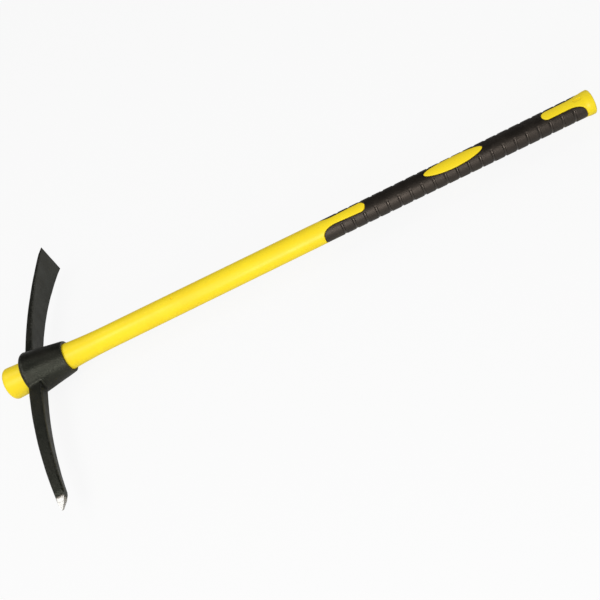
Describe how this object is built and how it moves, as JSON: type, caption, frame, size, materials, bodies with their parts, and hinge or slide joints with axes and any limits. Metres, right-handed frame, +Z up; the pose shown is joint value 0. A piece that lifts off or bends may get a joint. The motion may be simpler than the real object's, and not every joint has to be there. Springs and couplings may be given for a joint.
{
  "type": "pick mattock",
  "caption": "Pick mattock: a forged black head with an adze blade and a pointed pick, slipped over a round yellow fibreglass handle with a ribbed black rubber grip.",
  "frame": {"origin": "middle of the tool's outline from above, on the ground under the widest part of the eye", "axes": "+X along the handle from the head end to the butt, +Y towards the adze, +Z up with the tool lying on its side"},
  "size_m": [0.9, 0.481, 0.0664],
  "materials": {
    "black_paint": "satin black paint over forged steel, the point ground bright",
    "yellow_plastic": "smooth moulded plastic with a soft gloss",
    "bare_fibreglass": "sawn end of a pultruded glass-fibre rod",
    "black_rubber": "matt moulded rubber"
  },
  "bodies": {
    "handle": {"handle_jacket": "yellow_plastic", "fibreglass_core": "bare_fibreglass", "grip_sleeve": "black_rubber"},
    "head": {"pick_mattock_head": "black_paint"}
  },
  "joints": [
    {"name": "head_slide", "type": "slide", "parent": "handle", "child": "head", "axis": [1, 0, 0], "range_m": [0, 0.8]}
  ]
}
